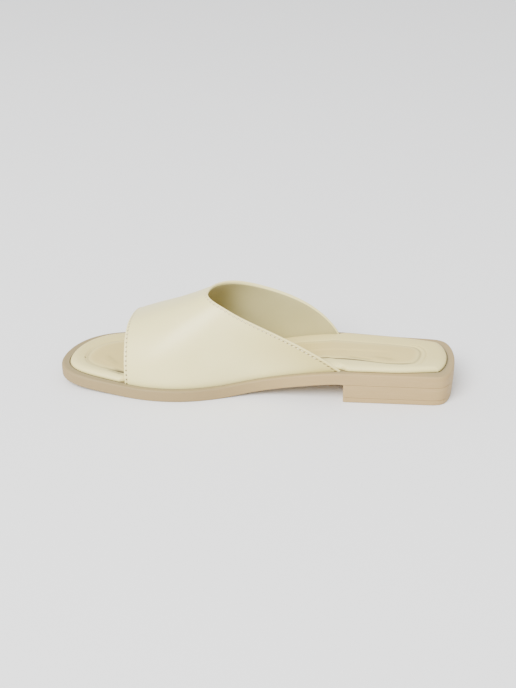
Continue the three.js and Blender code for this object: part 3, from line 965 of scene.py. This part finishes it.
def sole_rubber():
    """Matte beige moulded rubber: a fine mould texture, a slow tone, faint marks drawn along it, painted
    shade on the forefoot and the rim, and dirt and painted shade in the grooves."""
    material, tree, shader, place = finish_material("sole_rubber", Specular_IOR_Level=0.4)
    slow = new_node(tree, "ShaderNodeTexNoise", "slow tone", Scale=22.0, Detail=3.0)
    fine = new_node(tree, "ShaderNodeTexNoise", "mould texture", Scale=2600.0, Detail=3.0)
    stretch = new_node(tree, "ShaderNodeMapping", "drawn along", Scale=(60.0, 60.0, 900.0))
    marks = new_node(tree, "ShaderNodeTexNoise", "scuffs", Scale=1.0, Detail=4.0)
    for node in (slow, fine, stretch):
        tree.links.new(place, node.inputs["Vector"])
    tree.links.new(stretch.outputs[0], marks.inputs["Vector"])
    body = blend_colour(tree, "rubber tone", slow.outputs[0], srgb(167, 139, 92), srgb(178, 152, 105))
    worn = math_node(tree, "POWER", "few", marks.outputs[0], 4.0)
    worn = math_node(tree, "MULTIPLY", "faint", worn, 0.5)
    body = blend_colour(tree, "drawn marks", worn, body, srgb(205, 182, 140))
    # Painted shade: the forefoot is drawn darker
    body = blend_colour(tree, "painted shade on the forefoot", attribute(tree, "forefoot"), body, srgb(152, 131, 91))
    # Painted shade: the rim's top is drawn greyer and darker
    body = blend_colour(tree, "painted shade on the rim", attribute(tree, "rim"), body, srgb(149, 137, 102))
    # Dirt in the tread grooves, and painted shade in the rim's groove beside the band
    dirt_and_shade_strength = math_node(tree, "MULTIPLY", "dirt_and_shade_strength", attribute(tree, "dirt"), 0.7)
    body = blend_colour(tree, "dirt in grooves", dirt_and_shade_strength, body, srgb(120, 105, 76))
    tree.links.new(body, shader.inputs["Base Color"])
    vary_roughness(tree, shader, slow.outputs[0], 0.56, 0.7)
    texture = math_node(tree, "ADD", "texture", fine.outputs[0], marks.outputs[0])
    add_bump(tree, shader, texture, 0.04 * MM, 0.6)
    return material


def sewing_thread():
    """Pale twisted thread."""
    material, tree, shader, place = finish_material("sewing_thread")
    twist = new_node(tree, "ShaderNodeTexNoise", "twist", Scale=3500.0, Detail=2.0)
    tree.links.new(place, twist.inputs["Vector"])
    body = blend_colour(tree, "thread tone", twist.outputs[0], srgb(230, 217, 170), srgb(244, 235, 196))
    tree.links.new(body, shader.inputs["Base Color"])
    vary_roughness(tree, shader, twist.outputs[0], 0.5, 0.7)
    add_bump(tree, shader, twist.outputs[0], 0.05 * MM, 0.6)
    return material


def floor_paper():
    """A plain pale floor with a barely seen tone."""
    material, tree, shader, place = finish_material("floor_paper", Roughness=0.75)
    slow = new_node(tree, "ShaderNodeTexNoise", "paper tone", Scale=3.0, Detail=2.0)
    tree.links.new(place, slow.inputs["Vector"])
    body = blend_colour(tree, "paper", slow.outputs[0], srgb(246, 247, 249), srgb(249, 250, 251))
    tree.links.new(body, shader.inputs["Base Color"])
    return material


def make_floor():
    """A wide floor that curves up far behind: its height is the squared distance past the flat part."""
    across, along = np.meshgrid(np.linspace(-4, 4, 65), np.linspace(-6, 3, 73), indexing="ij")
    rise = FLOOR["curve"] * np.clip(-FLOOR["flat"] - along, 0, None) ** 2
    points = np.stack([across, along, rise - FLOOR["sink"]], -1).reshape(-1, 3)
    r, c = np.arange(64)[:, None] * 73, np.arange(72)[None, :]
    faces = np.stack([r + c, r + 73 + c, r + 74 + c, r + 1 + c], -1).reshape(-1, 4)
    mesh = bpy.data.meshes.new("floor")
    mesh.from_pydata(points.tolist(), [], faces.tolist())
    mesh.shade_smooth()
    mesh.materials.append(floor_paper())
    floor = bpy.data.objects.new("floor", mesh)
    bpy.context.scene.collection.objects.link(floor)


def make_lights():
    """Soft daylight: a wide round window before the shoe and towards its toe, and a pale room all round."""
    data = bpy.data.lights.new("window", "AREA")
    data.shape, data.size, data.energy = "DISK", WINDOW["size"], WINDOW["power"]
    data.color = WINDOW_COLOUR
    light = bpy.data.objects.new("window", data)
    light.location = WINDOW["place"]
    beam = Vector(WINDOW["aim"]) - Vector(WINDOW["place"])
    light.rotation_euler = beam.to_track_quat("-Z", "Y").to_euler()
    bpy.context.scene.collection.objects.link(light)
    world = bpy.data.worlds.new("studio")
    world.use_nodes = True
    room = world.node_tree.nodes["Background"]
    room.inputs["Color"].default_value = (1.0, 1.0, 1.0, 1)
    room.inputs["Strength"].default_value = ROOM_LIGHT
    bpy.context.scene.world = world


def make_camera():
    """The view from the big-toe side: back points from the shoe to the camera at its turn and pitch, and
    right and up are rolled about it."""
    pitch, turn, roll = np.radians([CAMERA["pitch"], CAMERA["turn"], CAMERA["roll"]])
    back = np.array([np.sin(turn) * np.cos(pitch), np.cos(turn) * np.cos(pitch), np.sin(pitch)])
    level = np.array([-np.cos(turn), np.sin(turn), 0])
    upright = np.cross(back, level)
    right = np.cos(roll) * level + np.sin(roll) * upright
    up = np.cos(roll) * upright - np.sin(roll) * level
    slide = back * CAMERA_SLIDE["back"] + right * CAMERA_SLIDE["right"] + up * CAMERA_SLIDE["up"]
    place = ORIGIN + [LENGTH / 2, 0, 0] + slide * MM
    data = bpy.data.cameras.new("camera")
    data.lens, data.sensor_width, data.sensor_fit = CAMERA["lens"], 36, "AUTO"
    camera = bpy.data.objects.new("camera", data)
    matrix = np.eye(4)
    matrix[:3] = np.stack([right, up, back, place], -1)
    camera.matrix_world = Matrix(matrix.tolist())
    bpy.context.scene.collection.objects.link(camera)
    bpy.context.scene.camera = camera


make_camera()
make_lights()
make_floor()

grain = grain_group()
rubber, thread = sole_rubber(), sewing_thread()
make_outsole(rubber)
joint = LIFT_THICKNESS + CLEARANCE / 2
heel_body("heel_stack", "heel_block", joint + SEAM / 2, HEEL_HEIGHT - SEAM, SEAM_ROUND, rubber)
heel_body("heel_lift_rubber", "heel_top_lift", 0, joint - SEAM / 2, LOWER_ROUND, rubber, treaded=True)
make_insole(insole_leather(grain))
make_upper(upper_leather(grain), lining_leather(grain))
sewing("topline_stitches", topline_x, 1, thread)
sewing("front_stitches", front_x, -1, thread)
